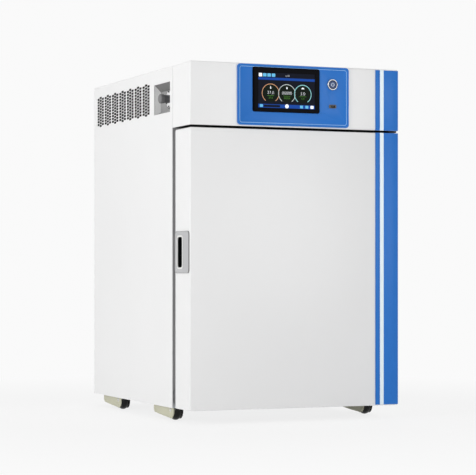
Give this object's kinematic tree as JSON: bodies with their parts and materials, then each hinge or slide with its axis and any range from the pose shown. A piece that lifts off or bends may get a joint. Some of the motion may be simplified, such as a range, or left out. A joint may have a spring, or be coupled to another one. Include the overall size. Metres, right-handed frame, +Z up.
{
  "type": "carbon dioxide incubator",
  "caption": "Floor-standing carbon dioxide incubator with a control head, a thick outer door, a glass inner door, a stainless chamber with shelves, and rollers.",
  "frame": {"origin": "on the floor, at the centre of the footprint", "axes": "+Z up, -Y towards the person at the door, +X to that person's right"},
  "size_m": [0.5768, 0.7456, 0.882],
  "materials": {
    "white_steel": "white powder coat",
    "blue_trim": "blue, semi-gloss",
    "stainless": "satin stainless",
    "zinc_steel": "dull zinc plate",
    "aluminium_case": "plain aluminium",
    "dark_rubber": "matte dark grey",
    "clear_seal": "translucent silicone",
    "foam": "closed-cell foam",
    "dark_plastic": "matte dark grey",
    "black_plastic": "glossy black",
    "grey_plastic": "matte light grey",
    "ivory_nylon": "matte ivory",
    "white_nylon": "matte white",
    "chrome": "polished",
    "brass": "machined",
    "green_board": "solder mask",
    "screen_glass": "glossy display",
    "clear_glass": "clear",
    "filter_paper": "pleated paper",
    "clear_hose": "milky hose"
  },
  "bodies": {
    "cabinet": {"cabinet_wrap": "white_steel", "base_frame": "zinc_steel", "rear_cover": "white_steel", "front_frame": "dark_plastic", "chamber_liner": "stainless", "cabinet_insulation": "foam", "deck_panel": "zinc_steel", "door_gasket": "dark_rubber", "glass_door_seal": "clear_seal", "shelf_rack_left": "stainless", "shelf_rack_right": "stainless", "air_duct_panel": "stainless", "hepa_filter": "filter_paper", "fan_motor": "zinc_steel", "co2_sensor": "grey_plastic", "temperature_probe": "stainless", "co2_valve": "zinc_steel", "co2_inlet": "brass", "co2_line": "clear_hose", "mains_inlet": "black_plastic", "power_supply": "aluminium_case", "head_housing": "white_steel", "head_trim": "blue_trim", "control_panel": "blue_trim", "display_bezel": "black_plastic", "display_screen": "screen_glass", "control_board": "green_board", "power_button_ring": "chrome", "usb_socket": "dark_plastic", "upper_hinge": "zinc_steel", "lower_hinge": "zinc_steel", "side_port_recess": "grey_plastic", "side_port_flange": "stainless", "glass_hinge_rod": "stainless", "caster_bracket_front_left": "ivory_nylon", "caster_bracket_front_right": "ivory_nylon", "caster_bracket_rear_left": "ivory_nylon", "caster_bracket_rear_right": "ivory_nylon"},
    "outer_door": {"door_shell": "white_steel", "door_liner_pan": "white_steel", "door_insulation": "foam", "door_trim": "blue_trim", "handle_pocket": "grey_plastic", "hinge_bush_upper": "white_nylon", "hinge_bush_lower": "white_nylon"},
    "glass_door": {"glass_door_pane": "clear_glass", "glass_clip_upper": "stainless", "glass_clip_lower": "stainless", "glass_door_knob": "dark_plastic"},
    "shelf_1": {"shelf_1": "stainless"},
    "shelf_2": {"shelf_2": "stainless"},
    "shelf_3": {"shelf_3": "stainless"},
    "water_tray": {"water_tray": "stainless"},
    "power_button": {"power_button": "blue_trim"},
    "fan_impeller": {"fan_impeller": "aluminium_case"},
    "side_port_cap": {"side_port_cap": "dark_plastic"},
    "wheel_front_left": {"caster_wheel_front_left": "black_plastic"},
    "wheel_front_right": {"caster_wheel_front_right": "black_plastic"},
    "wheel_rear_left": {"caster_wheel_rear_left": "black_plastic"},
    "wheel_rear_right": {"caster_wheel_rear_right": "black_plastic"}
  },
  "joints": [
    {"name": "outer_door_hinge", "type": "hinge", "parent": "cabinet", "child": "outer_door", "pos_m": [0.2745, -0.31, 0.032], "axis": [0, 0, 1], "range_deg": [0, 130]},
    {"name": "glass_door_hinge", "type": "hinge", "parent": "cabinet", "child": "glass_door", "pos_m": [0.242, -0.2455, 0.13], "axis": [0, 0, 1], "range_deg": [0, 85]},
    {"name": "shelf_1_slide", "type": "slide", "parent": "cabinet", "child": "shelf_1", "axis": [0, -1, 0], "range_m": [0, 0.14]},
    {"name": "shelf_2_slide", "type": "slide", "parent": "cabinet", "child": "shelf_2", "axis": [0, -1, 0], "range_m": [0, 0.14]},
    {"name": "shelf_3_slide", "type": "slide", "parent": "cabinet", "child": "shelf_3", "axis": [0, -1, 0], "range_m": [0, 0.14]},
    {"name": "water_tray_slide", "type": "slide", "parent": "cabinet", "child": "water_tray", "axis": [0, -1, 0], "range_m": [0, 0.14]},
    {"name": "power_button_press", "type": "slide", "parent": "cabinet", "child": "power_button", "axis": [0, 1, 0], "range_m": [0, 0.0025], "stiffness_N_per_m": 400},
    {"name": "fan_spin", "type": "hinge", "parent": "cabinet", "child": "fan_impeller", "pos_m": [0, 0.227, 0.545], "axis": [0, 1, 0], "continuous": true},
    {"name": "side_port_cap_pull", "type": "slide", "parent": "cabinet", "child": "side_port_cap", "axis": [-1, 0, 0], "range_m": [0, 0.03]},
    {"name": "wheel_front_left_spin", "type": "hinge", "parent": "cabinet", "child": "wheel_front_left", "pos_m": [-0.263, -0.218, 0.025], "axis": [1, 0, 0], "continuous": true},
    {"name": "wheel_front_right_spin", "type": "hinge", "parent": "cabinet", "child": "wheel_front_right", "pos_m": [0.263, -0.218, 0.025], "axis": [1, 0, 0], "continuous": true},
    {"name": "wheel_rear_left_spin", "type": "hinge", "parent": "cabinet", "child": "wheel_rear_left", "pos_m": [-0.263, 0.182, 0.025], "axis": [1, 0, 0], "continuous": true},
    {"name": "wheel_rear_right_spin", "type": "hinge", "parent": "cabinet", "child": "wheel_rear_right", "pos_m": [0.263, 0.182, 0.025], "axis": [1, 0, 0], "continuous": true}
  ],
  "couplings": [
    {"joint": "glass_door_hinge", "follows": "outer_door_hinge", "ratio": 0.65},
    {"joint": "shelf_1_slide", "follows": "outer_door_hinge", "m_per_rad": 0.06},
    {"joint": "shelf_2_slide", "follows": "outer_door_hinge", "m_per_rad": 0.06},
    {"joint": "shelf_3_slide", "follows": "outer_door_hinge", "m_per_rad": 0.06},
    {"joint": "water_tray_slide", "follows": "outer_door_hinge", "m_per_rad": 0.06}
  ]
}
